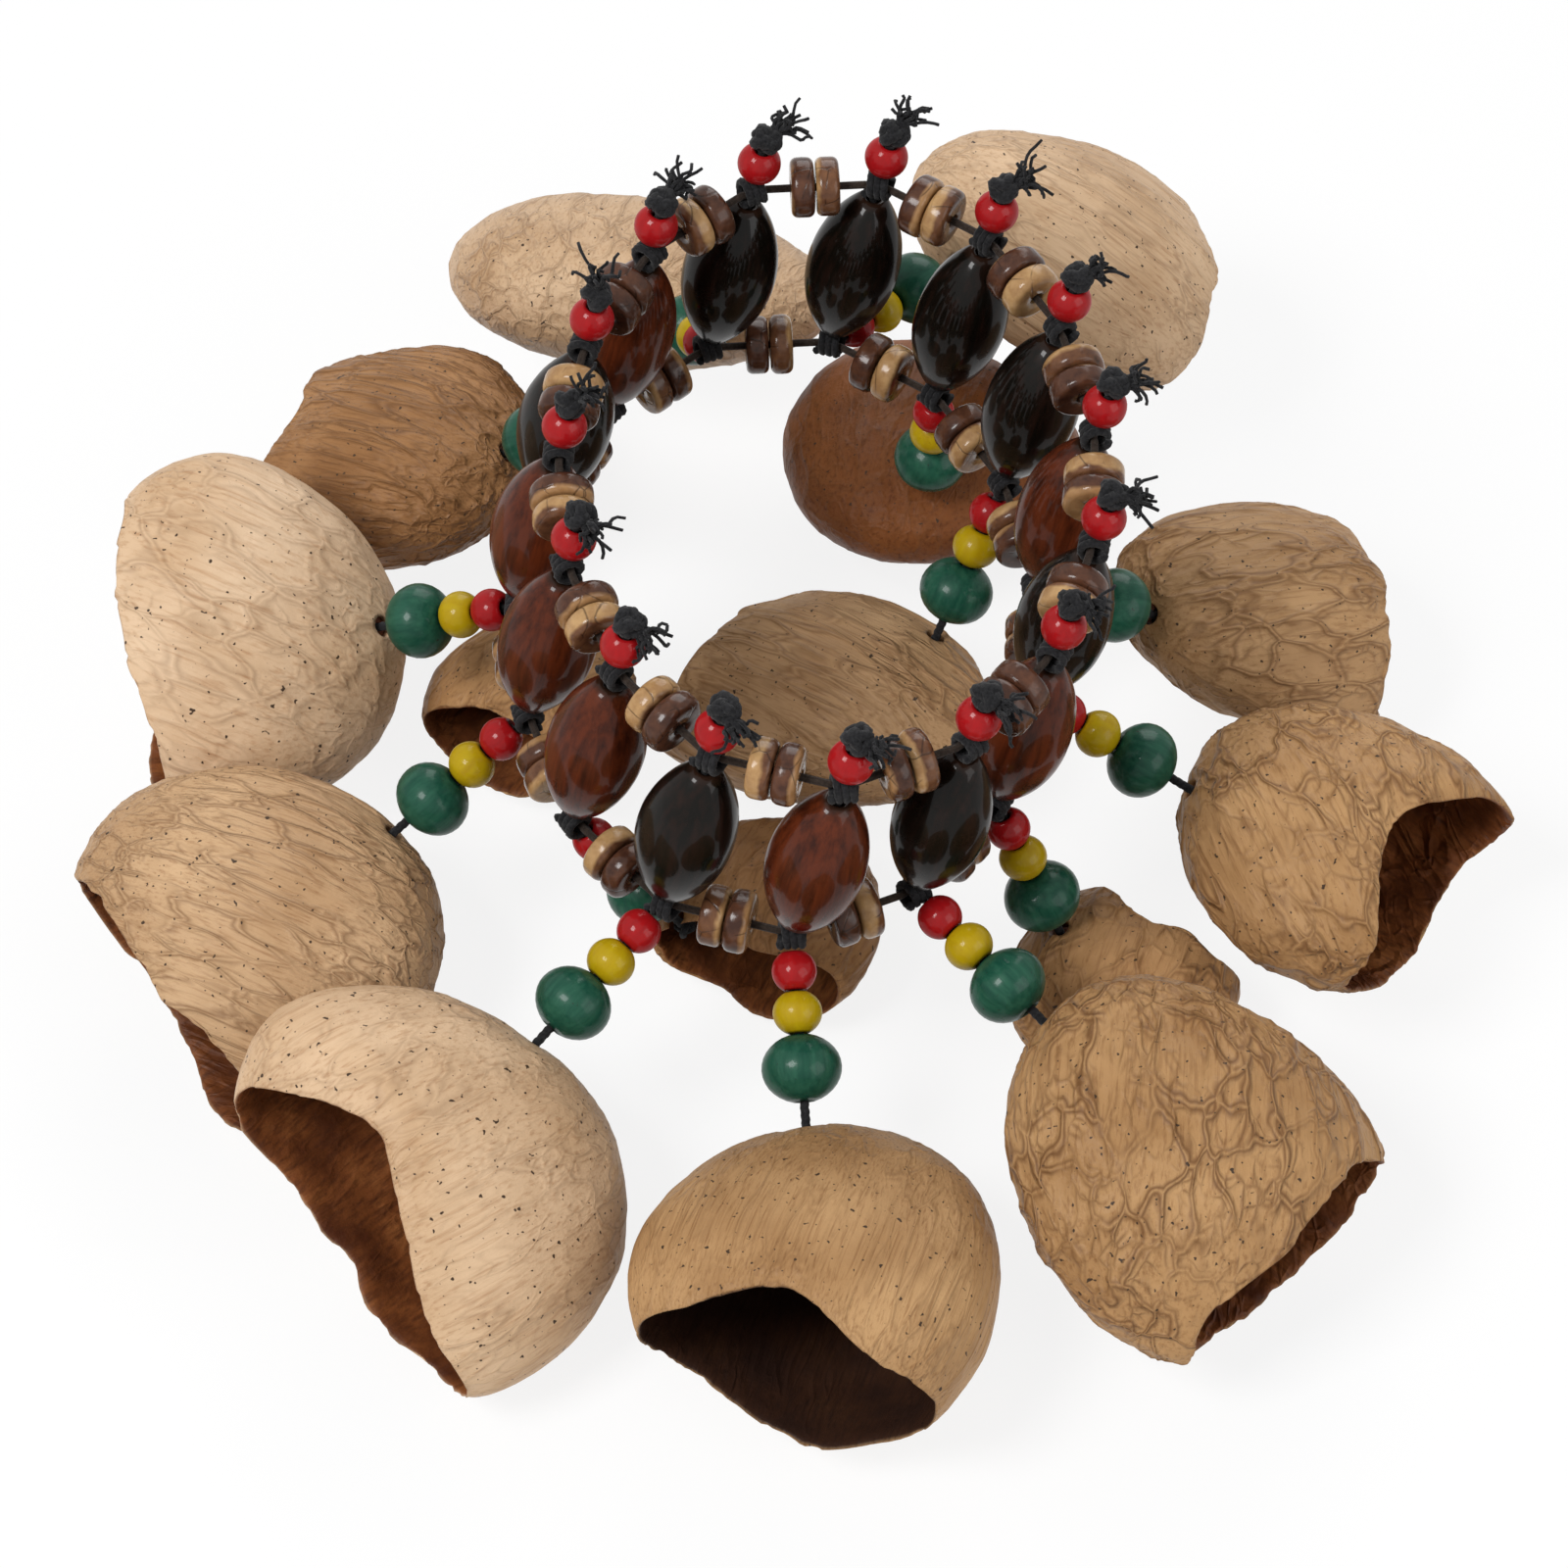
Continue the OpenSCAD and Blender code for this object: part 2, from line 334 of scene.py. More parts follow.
def vein_net(tree, grid, veined):
    """A net of veins, in shader or geometry nodes: its height, and the dark lines along it."""
    drift = add(tree, "ShaderNodeTexNoise", Vector=grid, Scale=0.8, Detail=2.0).outputs["Color"]
    shift = add(tree, "ShaderNodeVectorMath", p_operation="SUBTRACT", i0=drift,
                i1=(0.5, 0.5, 0.5)).outputs[0]
    bent = add(tree, "ShaderNodeVectorMath", p_operation="MULTIPLY_ADD", i0=shift,
               i1=(1.5, 1.5, 1.5), i2=grid).outputs[0]

    def edges(scale):
        net = add(tree, "ShaderNodeTexVoronoi", p_feature="DISTANCE_TO_EDGE", Vector=bent,
                  Scale=scale)
        return net.outputs["Distance"]

    def times(a, b):
        return math_node(tree, "MULTIPLY", a, b)

    wide, narrow = edges(1.0), edges(2.3)
    veins = times(level(tree, grain(tree, grid, 0.7, 2.0), 0.34, 0.54), veined)
    twigs = times(level(tree, grain(tree, grid, 1.3, 2.0), 0.42, 0.62), times(veined, 0.6))
    raised = math_node(tree, "ADD", times(level(tree, wide, 0.15, 0.0), veins),
                       times(level(tree, narrow, 0.16, 0.0), twigs))
    beside = math_node(tree, "SUBTRACT", level(tree, wide, 0.11, 0.05),
                       level(tree, wide, 0.045, 0.0))
    lines = times(level(tree, narrow, 0.10, 0.02), twigs)
    return raised, math_node(tree, "MAXIMUM", times(beside, veins), lines)


def vein_relief(height):
    """Geometry nodes that raise the veins which the nutshell's material draws."""
    tree = bpy.data.node_groups.new("vein_relief", "GeometryNodeTree")
    for way in ("INPUT", "OUTPUT"):
        tree.interface.new_socket("Geometry", in_out=way, socket_type="NodeSocketGeometry")
    start, end = tree.nodes.new("NodeGroupInput"), tree.nodes.new("NodeGroupOutput")

    def named(name, kind):
        node = add(tree, "GeometryNodeInputNamedAttribute", p_data_type=kind, Name=name)
        return next(o for o in node.outputs if o.enabled and o.name == "Attribute")

    raised, _ = vein_net(tree, named("grid", "FLOAT_VECTOR"), named("veined", "FLOAT"))
    raised = math_node(tree, "MULTIPLY", raised, height)
    normal = add(tree, "GeometryNodeInputNormal").outputs["Normal"]
    offset = add(tree, "ShaderNodeVectorMath", p_operation="SCALE", i0=normal, Scale=raised)
    moved = add(tree, "GeometryNodeSetPosition", Geometry=start.outputs[0],
                Offset=offset.outputs[0])
    tree.links.new(moved.outputs[0], end.inputs[0])
    return tree


def nutshell_material():
    """Pale tan skin under a net of thin raised veins, with dark specks; red-brown inside."""
    m, t, s = new_material("veined_nutshell")
    p = point(t)
    own, grid = (attribute(t, name).outputs["Vector"] for name in ("own", "grid"))
    inside, pale, veined, hollow_blackness = (attribute(t, name).outputs["Fac"]
                                  for name in ("inside", "pale", "veined", "hollow_blackness"))
    raised, outline = vein_net(t, grid, veined)
    cloud = grain(t, p, 60.0, 5.0)
    streak = grain(t, stretched(t, grid, (0.9, 9.0, 9.0)), 1.0, 4.0, 0.6)
    # At paleness 0 both ramps give the colour of a shell that lies in shade, so the darkest shells
    # carry painted shade as well as their own tone
    shade = ramp(t, pale, (0.0, (0.105, 0.020, 0.003)), (0.35, (0.30, 0.158, 0.062)),
                 (1.0, (0.55, 0.365, 0.215)))
    light = ramp(t, pale, (0.0, (0.22, 0.055, 0.009)), (0.35, (0.48, 0.285, 0.130)),
                 (1.0, (0.70, 0.51, 0.34)))
    skin = mix(t, level(t, cloud, 0.30, 0.68), shade, light)
    streaks = math_node(t, "MULTIPLY", level(t, streak, 0.50, 0.76), 0.6)
    skin = mix(t, streaks, skin, shade, "MULTIPLY")
    skin = mix(t, math_node(t, "MULTIPLY", outline, 0.88), skin, VEIN_BROWN)
    specks = level(t, grain(t, p, 1300.0, 1.0), 0.70, 0.74)
    skin = mix(t, specks, skin, SPECK_BROWN)
    flesh = ramp(t, grain(t, p, 130.0, 6.0), (0.32, (0.075, 0.020, 0.007)),
                 (0.52, (0.20, 0.062, 0.018)), (0.74, (0.34, 0.125, 0.038)))
    fibre = grain(t, stretched(t, own, (250.0, 1500.0, 1500.0)), 1.0, 3.0)
    flesh = mix(t, level(t, fibre, 0.45, 0.75), flesh, FIBRE_BROWN)
    # Each shell's hollow darkens toward near-black by its own number
    flesh = mix(t, hollow_blackness, flesh, HOLLOW_NEAR_BLACK)
    t.links.new(mix(t, inside, skin, flesh), s.inputs["Base Color"])
    t.links.new(level(t, cloud, -0.7, 1.9), s.inputs["Roughness"])
    shine(s, specular=0.12)
    fine = math_node(t, "MULTIPLY", math_node(t, "ADD", grain(t, p, 1300.0, 4.0), streak), 0.22)
    bump(t, s, math_node(t, "ADD", raised, fine), 0.6, 0.7 * MM)
    return m


def disc_material(name, dark, tan):
    """Layers of coconut shell, dark and tan, that meet at a different depth in each disc."""
    m, t, s = new_material(name)
    p = point(t)
    layer, meet = (attribute(t, key).outputs["Fac"] for key in ("layer", "meet"))
    fibre = grain(t, p, 520.0, 5.0, 0.6)
    waver = math_node(t, "MULTIPLY", math_node(t, "SUBTRACT", grain(t, p, 190.0, 3.0), 0.5), 1.6)
    depth = math_node(t, "SUBTRACT", math_node(t, "ADD", layer, waver), meet)
    both = level(t, depth, -0.16, 0.16)
    low, high = mix(t, both, dark[0], tan[0]), mix(t, both, dark[1], tan[1])
    colour = mix(t, level(t, fibre, 0.36, 0.68), low, high)
    cells = add(t, "ShaderNodeTexVoronoi", p_feature="DISTANCE_TO_EDGE", Vector=p, Scale=260.0)
    cracks = level(t, cells.outputs["Distance"], 0.035, 0.0)
    cracks = math_node(t, "MULTIPLY", cracks, level(t, grain(t, p, 300.0, 2.0), 0.48, 0.60))
    colour = mix(t, math_node(t, "MULTIPLY", cracks, 0.7), colour, CRACK_BROWN)
    t.links.new(colour, s.inputs["Base Color"])
    t.links.new(level(t, fibre, 0.1, 2.6), s.inputs["Roughness"])
    shine(s, specular=0.10, coat=0.25, coat_roughness=0.14)
    bump(t, s, math_node(t, "SUBTRACT", fibre, cracks), 0.30, FINE_BUMP)
    return m


def seed_material(name, deep, warm, share):
    """Varnished seed with streaks along it. Less of it is warm, the higher the share."""
    m, t, s = new_material(name)
    along = attribute(t, "own").outputs["Vector"]
    streak = grain(t, stretched(t, along, (900.0, 900.0, 70.0)), 1.0, 5.0, 0.6)
    cloud = grain(t, along, 150.0, 4.0)
    both = math_node(t, "ADD", math_node(t, "MULTIPLY", streak, 0.8),
                     math_node(t, "MULTIPLY", cloud, 0.2))
    colour = mix(t, level(t, both, share, share + 0.22), deep, warm)
    colour = mix(t, attribute(t, "end").outputs["Fac"], colour, END_BROWN)
    t.links.new(colour, s.inputs["Base Color"])
    t.links.new(level(t, cloud, -0.30, 2.6), s.inputs["Roughness"])
    shine(s, specular=0.05, coat=0.25, coat_roughness=0.06)
    bump(t, s, streak, 0.10, FINE_BUMP)
    return m


def bead_material(name, colour, other, gloss, grainy):
    """Painted or stained wood whose grain shows through, with small chips and a darker bore."""
    m, t, s = new_material(name)
    along = attribute(t, "own").outputs["Vector"]
    wood = grain(t, stretched(t, along, (1100.0, 1100.0, 120.0)), 1.0, 4.0)
    cloud = grain(t, point(t), 260.0, 3.0)
    face = mix(t, level(t, wood, 0.36, 0.72), colour, other)
    chips = level(t, grain(t, point(t), 1400.0, 2.0), 0.71, 0.76)
    face = mix(t, math_node(t, "MULTIPLY", chips, grainy), face, CHIP_BROWN)
    bore = attribute(t, "end").outputs["Fac"]
    face = mix(t, bore, face, tuple(0.30 * c for c in colour))
    t.links.new(face, s.inputs["Base Color"])
    t.links.new(level(t, cloud, 0.5 - 1.4 * gloss, 2.2 - gloss), s.inputs["Roughness"])
    shine(s, specular=0.10, coat=0.3 * gloss, coat_roughness=0.10)
    bump(t, s, wood, 0.06 + 0.20 * grainy, FINE_BUMP)
    return m


def thread_material(name, dark, light):
    """Dull, fuzzy cord."""
    m, t, s = new_material(name)
    fuzz = grain(t, point(t), 2600.0, 5.0, 0.7)
    t.links.new(mix(t, level(t, fuzz, 0.38, 0.70), dark, light), s.inputs["Base Color"])
    t.links.new(level(t, fuzz, -1.6, 1.0), s.inputs["Roughness"])
    s.inputs["Sheen Weight"].default_value = 0.10
    shine(s, specular=0.10)
    bump(t, s, fuzz, 0.6, FINE_BUMP)
    return m


SHELL = nutshell_material()
VEINS = vein_relief(VEIN_HEIGHT)
DARK_DISC = disc_material("dark_coconut_disc", ((0.045, 0.018, 0.011), (0.105, 0.042, 0.022)),
                          ((0.26, 0.135, 0.055), (0.38, 0.215, 0.095)))
PALE_DISC = disc_material("pale_coconut_disc", ((0.085, 0.034, 0.017), (0.17, 0.075, 0.034)),
                          ((0.31, 0.170, 0.070), (0.47, 0.290, 0.130)))
BLACK_SEED = seed_material("black_seed", (0.004, 0.003, 0.002), (0.014, 0.006, 0.004), 0.46)
BROWN_SEED = seed_material("red_brown_seed", (0.032, 0.007, 0.003), (0.095, 0.019, 0.006), 0.36)
RED = bead_material("red_lacquer", (0.33, 0.004, 0.006), (0.27, 0.003, 0.005), 0.95, 0.05)
YELLOW = bead_material("yellow_paint", (0.43, 0.30, 0.003), (0.38, 0.245, 0.003), 0.65, 0.15)
GREEN = bead_material("green_stain", (0.008, 0.058, 0.036), (0.022, 0.098, 0.060), 0.45, 0.9)
COTTON = thread_material("black_cotton", (0.006, 0.006, 0.007), (0.028, 0.028, 0.030))
ELASTIC = thread_material("brown_elastic", (0.018, 0.012, 0.009), (0.050, 0.036, 0.028))


# Nutshells

CAD_HOLE_R = 1.56 * MM  # the CAD's hole and a little more, to find its points
CAD_HOLE_REACH = 9 * MM
HOLE_R = 1.45 * MM
DRILL_LENGTH = 14 * MM
WALL_REACH = 5 * MM  # more than the wall, less than the hollow
SUBDIVISIONS = 3


def smooth(t, a, b):
    """Eases from 0 at a to 1 at b."""
    t = np.clip((t - a) / (b - a), 0, 1)
    return t * t * (3 - 2 * t)


def clouds(q, seed, size):
    """Soft noise of three octaves at points, with features of about the given size."""
    off = Vector((seed * 2.9, seed * 8.3, seed * 4.1))
    return np.array([noise.fractal(Vector(p) / size + off, 1.0, 2.0, 3) for p in q])


def base_shell(tag):
    """The CAD nutshell with its thread hole closed and its triangles paired."""
    bm = bmesh.new()
    bm.from_mesh(frame["nodes"]["nutshell_" + tag].data)
    bmesh.ops.remove_doubles(bm, verts=bm.verts, dist=2e-6)
    at, way = Vector(hole[tag]), Vector(unit(hole[tag] - lower[tag]))
    bore = []
    for v in bm.verts:
        d = v.co - at
        if abs(d.dot(way)) < CAD_HOLE_REACH and (d - way * d.dot(way)).length < CAD_HOLE_R:
            bore.append(v)
    bmesh.ops.delete(bm, geom=bore, context="VERTS")
    bmesh.ops.delete(bm, geom=[e for e in bm.edges if not e.link_faces], context="EDGES")
    bmesh.ops.delete(bm, geom=[v for v in bm.verts if not v.link_faces], context="VERTS")
    bmesh.ops.holes_fill(bm, edges=[e for e in bm.edges if e.is_boundary], sides=0)
    bmesh.ops.recalc_face_normals(bm, faces=bm.faces)
    triangles = [f for f in bm.faces if len(f.verts) == 3]
    bmesh.ops.join_triangles(bm, faces=triangles, angle_face_threshold=0.9,
                             angle_shape_threshold=math.pi)
    return bm


def mark_inside(bm):
    """Marks points 1 on the hollow's side, else 0. Gives the middle and the mouth's direction."""
    tree = BVHTree.FromBMesh(bm)
    heart = sum((v.co for v in bm.verts), Vector()) / len(bm.verts)
    layer = bm.verts.layers.float.new("inside")
    for v in bm.verts:
        way = (heart - v.co).normalized()
        hit = tree.ray_cast(v.co + way * 2e-5, way, WALL_REACH)
        v[layer] = 0.0 if hit[0] is not None else 1.0
    push = Vector()
    for f in bm.faces:
        if all(v[layer] == 0 for v in f.verts):
            push += f.normal * f.calc_area()
    return np.array(heart), np.array(-push.normalized())


def evaluated(obj):
    """The mesh that an object's modifiers make. The object itself goes."""
    mesh = bpy.data.meshes.new_from_object(obj.evaluated_get(bpy.context.evaluated_depsgraph_get()))
    bpy.data.objects.remove(obj)
    return mesh


def refine(bm):
    """A smooth, finely divided mesh of a coarse one."""
    mesh = bpy.data.meshes.new("rough")
    bm.to_mesh(mesh)
    bm.free()
    obj = bpy.data.objects.new("rough", mesh)
    scene.collection.objects.link(obj)
    sub = obj.modifiers.new("smooth", "SUBSURF")
    sub.levels = SUBDIVISIONS
    return evaluated(obj)


def raise_veins(mesh):
    """The mesh with the veins of its material as relief."""
    obj = bpy.data.objects.new("veined", mesh)
    scene.collection.objects.link(obj)
    obj.modifiers.new("veins", "NODES").node_group = VEINS
    return evaluated(obj)


def drill(mesh, at, way):
    """Cuts the thread's hole through the wall."""
    obj = bpy.data.objects.new("drilled", mesh)
    bm = bmesh.new()
    bmesh.ops.create_cone(bm, cap_ends=True, segments=24, radius1=HOLE_R, radius2=HOLE_R,
                          depth=DRILL_LENGTH)
    turn = Vector(way).to_track_quat("Z", "Y").to_matrix().to_4x4()
    bmesh.ops.transform(bm, matrix=Matrix.Translation(Vector(at)) @ turn, verts=bm.verts)
    tool_mesh = bpy.data.meshes.new("drill")
    bm.to_mesh(tool_mesh)
    bm.free()
    tool = bpy.data.objects.new("drill", tool_mesh)
    for o in (obj, tool):
        scene.collection.objects.link(o)
    cut = obj.modifiers.new("cut", "BOOLEAN")
    cut.operation = "DIFFERENCE"
    cut.solver = "EXACT"
    cut.object = tool
    out = evaluated(obj)
    bpy.data.objects.remove(tool)
    return out


def values(mesh, name):
    """A mesh's numbers of one name, one for each point."""
    out = np.zeros(len(mesh.vertices), np.float32)
    mesh.attributes[name].data.foreach_get("value", out)
    return out.astype(float)


def vectors(items, field):
    """One vector for each item, such as a point's place or normal."""
    out = np.zeros(len(items) * 3, np.float32)
    items.foreach_get(field, out)
    return out.reshape(-1, 3).astype(float)


# How each nutshell looks in the photograph, by station: paleness, strength of the veins, how far
# the veins lean from the mouth's axis (degrees), length and width of the net's meshes (mm), and
# how black the hollow is. Paleness is each shell's own tone. For the shells that lie in shade it is
# also partly painted shade: their low paleness gives them their shaded colour.
LOOKS = [
    (0.85, 0.40, 10, 22, 4.0, 0.1),
    (0.85, 0.50, 0, 24, 3.6, 0.1),
    (0.22, 0.85, 0, 26, 3.2, 0.1),
    (0.30, 0.60, 20, 12, 5.0, 0.3),
    (1.00, 0.35, 30, 14, 5.5, 0.0),
    (0.60, 0.65, 60, 18, 3.2, 0.2),
    (0.25, 0.60, 0, 12, 5.0, 0.3),
    (0.85, 0.30, 10, 16, 4.5, 0.1),
    (0.38, 0.35, 0, 22, 3.0, 0.9),
    (0.34, 1.00, 50, 10, 5.0, 0.2),
    (0.30, 0.80, 20, 11, 5.0, 0.3),
    (0.34, 0.95, 30, 10, 5.0, 0.1),
    (0.42, 0.80, 10, 14, 5.0, 0.1),
    (0.50, 0.60, 0, 18, 4.0, 0.2),
    (0.06, 0.30, 0, 20, 5.0, 0.2),
]

# How deep the upper side of a mouth is scooped out (mm), where the photograph shows it
SCOOPS = {"08": 8.0, "09": 3.0, "12": 9.0}
SCOOP_WIDTH = 0.35

# Relief of the skin and wear of the rim (mm). Noise seeds differ by feature and by station.
RIBS_PER_MESH = 1.6
RIB_HEIGHT = 0.30
SKIN_DEPTH = 0.30
DENT_SIZE = 13.0
DENT_DEPTH = 0.32
HOLLOW_SIZE = 6.0
HOLLOW_DEPTH = 0.18
RIM_BAND = 0.22
SMALL_CHIP = 2.4
LARGE_CHIP = 8.0
CHIP_DEPTH = 0.8
WAVE_DEPTH = 3.2
WAVE_REACH = 24


def nutshell_axes(co, heart, mouth):
    """The mouth's axis, the wider way across it, and the way square to both, as columns."""
    flat = co - heart
    flat = flat - np.outer(flat @ mouth, mouth)
    wide = unit(main_axis(flat, True))
    wide = unit(wide - mouth * (mouth @ wide))
    return np.array([mouth, wide, np.cross(mouth, wide)]).T


def skin_relief(i, q, in_net, veined, outside):
    """How far each point moves along its normal (mm): ribs and dents outside, dents inside."""
    rib = clouds(in_net * RIBS_PER_MESH, i + 1.0, 1.0)
    dent = clouds(q, i + 3.0, DENT_SIZE)
    lift = RIB_HEIGHT * veined * rib - SKIN_DEPTH - DENT_DEPTH * (dent + 0.3)
    hollow = HOLLOW_DEPTH * clouds(q, i + 9.0, HOLLOW_SIZE)
    return outside * np.clip(lift, -1.0, 0.05) + (1 - outside) * hollow


def rim_wear(i, q, inside, upward, scoop_depth):
    """How far each point draws back from the mouth (mm): chips, slow waves, and a scoop on top."""
    rim = np.exp(-((inside - 0.5) / RIM_BAND) ** 2)
    chip = 0.8 * clouds(q, i + 17.0, SMALL_CHIP) + 0.9 * clouds(q, i + 23.0, LARGE_CHIP)
    chip = np.clip(chip, -0.2, 1.4) * rim
    around = np.arctan2(q[:, 2], q[:, 1])
    ring = [Vector((math.cos(a), math.sin(a), 3.7 * i + 0.4)) for a in around]
    wave = np.array([0.5 + noise.noise(p) for p in ring])
    scoop = np.exp((np.cos(around - upward) - 1) / SCOOP_WIDTH)
    edge = q[:, 0].max()
    sway = (wave * WAVE_DEPTH + scoop * scoop_depth) * smooth(q[:, 0], edge - WAVE_REACH, edge)
    return chip * CHIP_DEPTH + sway


def nutshell(i, tag):
    """The CAD's cup with a veined, dented skin, a worn rim and its thread hole."""
    pale, veined, slant, along, across, hollow_blackness = LOOKS[i]
    bm = base_shell(tag)
    heart, mouth = mark_inside(bm)
    mesh = refine(bm)
    co, normal = vectors(mesh.vertices, "co"), vectors(mesh.vertex_normals, "vector")
    inside = values(mesh, "inside")
    outside = 1 - smooth(inside, 0.15, 0.6)
    axes = nutshell_axes(co, heart, mouth)
    c, s = math.cos(math.radians(slant)), math.sin(math.radians(slant))
    tilt = np.array([[c, -s, 0], [s, c, 0], [0, 0, 1]])
    net_size = np.array([along, across, across])
    q = (co - heart) @ axes / MM
    relief = skin_relief(i, q, q @ tilt / net_size, veined, outside)
    upward = math.atan2(axes[2, 2], axes[2, 1])
    wear = rim_wear(i, q, inside, upward, SCOOPS.get(tag, 0.0))
    co = co + normal * relief[:, None] * MM
    co = co - np.outer(wear * MM, mouth)
    mesh.vertices.foreach_set("co", co.astype(np.float32).ravel())
    mesh.update()
    grid = (co - heart) @ axes / MM @ tilt / net_size + 11.3 * i
    set_value(mesh, "grid", grid)
    set_value(mesh, "veined", veined * outside)
    mesh = raise_veins(mesh)
    tree = KDTree(len(co))
    for k, p in enumerate(vectors(mesh.vertices, "co")):
        tree.insert(p, k)
    tree.balance()
    drilled = drill(mesh, hole[tag], unit(hole[tag] - lower[tag]))
    near = [tree.find(p.co)[1] for p in drilled.vertices]
    passed_on = [a.name for a in drilled.attributes if a.domain == "POINT" and not a.is_required]
    for key in passed_on:
        drilled.attributes.remove(drilled.attributes[key])
    set_value(drilled, "inside", smooth(inside, 0.35, 0.75)[near])
    set_value(drilled, "grid", grid[near])
    set_value(drilled, "own", (vectors(drilled.vertices, "co") - heart) @ axes)
    for key, v in (("pale", pale), ("veined", veined), ("hollow_blackness", hollow_blackness)):
        set_value(drilled, key, np.full(len(near), v))
    drilled.materials.clear()
    drilled.materials.append(SHELL)
    drilled.polygons.foreach_set("material_index", [0] * len(drilled.polygons))
    show(drilled, "nutshell_skin_" + tag, "shell_" + tag, "nutshell_" + tag)


for i, tag in enumerate(TAGS):
    nutshell(i, tag)


# The band's beads and discs

BEAD_BORE = 0.9 * MM
BEAD_LIP = 0.5 * MM
BEAD_EASE = 0.45 * MM
BEAD_STEPS = 14
BEAD_UNEVEN = 0.018
SPINDLE_END_R = 1.75 * MM
SPINDLE_RINGS = 30
SPINDLE_SIDES = 40
DISC_BORE = 0.85 * MM
DISC_EASE = 0.2 * MM
DISC_EDGE_STEPS = 5
TOP_BEAD_SEED = 300


def bead_profile(d, h):
    """Round bead with eased ends and a bore, as a closed profile from top to bottom and back up."""
    r = d / 2
    top = math.acos(min(1.0, (BEAD_BORE + BEAD_LIP) / r))
    profile = []
    for k in range(BEAD_STEPS + 1):
        a = top - 2 * top * k / BEAD_STEPS
        profile.append((r * math.cos(a), h / 2 * math.sin(a) / math.sin(top)))
    return profile + [(BEAD_BORE, z) for z in (-h / 2 + BEAD_EASE, 0.0, h / 2 - BEAD_EASE)]


def own_values(pts, centre, axis):
    """Points as seen from a piece's own centre and axis."""
    side, up = basis(axis)
    d = np.asarray(pts) - centre
    return np.column_stack([d @ side, d @ up, d @ axis])


def add_bead(build, pts, axis, slot, pick):
    """A slightly uneven bead in the place of a CAD bead."""
    c = middle_along(pts, axis)
    profile = bead_profile(width(pts, axis), span(pts, axis)[0])
    seed = pick.uniform(0, 50)

    def wobble(a, r, h):
        at = Vector((math.cos(a) * 1.4, math.sin(a) * 1.4, seed + h * 300))
        return 1.0 - BEAD_UNEVEN * (1 + noise.noise(at))

    p, f = lathe(profile, c, axis, wobble)
    ends = [1.0 if r <= BEAD_BORE * 1.02 else 0.0 for r, _ in profile] * LATHE_SIDES
    build.add(p, f, slot, end=ends, own=own_values(p, c, axis) + pick.uniform(-0.2, 0.2))


# The spindles' common lean, the station of each, and so the stations on the upper string

spindle_pts = {group: solids(group) for group in ("black_spindles", "brown_spindles")}
lean = unit(sum(main_axis(p, True) * np.sign(main_axis(p, True)[2])
                for found in spindle_pts.values() for p in found))
upper = {}
for found in spindle_pts.values():
    for p in found:
        c = middle_along(p, lean)
        near = min(TAGS, key=lambda t: np.linalg.norm(np.cross(lower[t] - c, lean)))
        upper[near] = 2 * c - lower[near]


def add_spindle(build, pts, pick):
    """A seed turned from an arc, with faint ribs and one side a little flat."""
    length, _ = span(pts, lean)
    c = middle_along(pts, lean)
    r = width(pts, lean) / 2
    seed = pick.uniform(0, 90)
    flat = pick.uniform(0.0, 0.05)
    turn = pick.uniform(0, 6.28)
    sag = r - SPINDLE_END_R
    arc = ((length / 2) ** 2 + sag ** 2) / (2 * sag)
    lip, deep = length / 2 - 0.05 * MM, length / 2 - 0.7 * MM
    profile = [(BEAD_BORE, -deep), (BEAD_BORE * 1.15, -lip)]
    for k in range(SPINDLE_RINGS + 1):
        h = (k / SPINDLE_RINGS - 0.5) * length
        q = r - arc + math.sqrt(arc * arc - h * h)
        if k in (0, SPINDLE_RINGS):
            q *= 0.93
        profile.append((q, h))
    profile += [(BEAD_BORE * 1.15, lip), (BEAD_BORE, deep)]

    def wobble(a, q, h):
        if q <= BEAD_BORE * 1.2:
            return 1.0
        n = noise.noise(Vector((math.cos(a) * 1.1, math.sin(a) * 1.1, seed + h * 60)))
        rib = 0.012 * math.cos(5 * (a - turn)) * (1 - (2 * h / length) ** 2)
        return 0.975 + 0.022 * n + rib - flat * abs(math.sin(a - turn)) ** 3

    p, f = lathe(profile, c, lean, wobble, SPINDLE_SIDES)
    ends = [1.0 if q <= SPINDLE_END_R * 1.01 or abs(h) > length / 2 - 0.5 * MM else 0.0
            for q, h in profile] * SPINDLE_SIDES
    build.add(p, f, end=ends, own=own_values(p, c, lean) + pick.uniform(-0.3, 0.3))


for colour, material in (("black", BLACK_SEED), ("brown", BROWN_SEED)):
    group = colour + "_spindles"
    build = Build()
    for k, p in enumerate(spindle_pts[group]):
        add_spindle(build, p, random.Random(group + str(k)))
    build.piece(colour + "_seed_spindles", [material], "band", group)


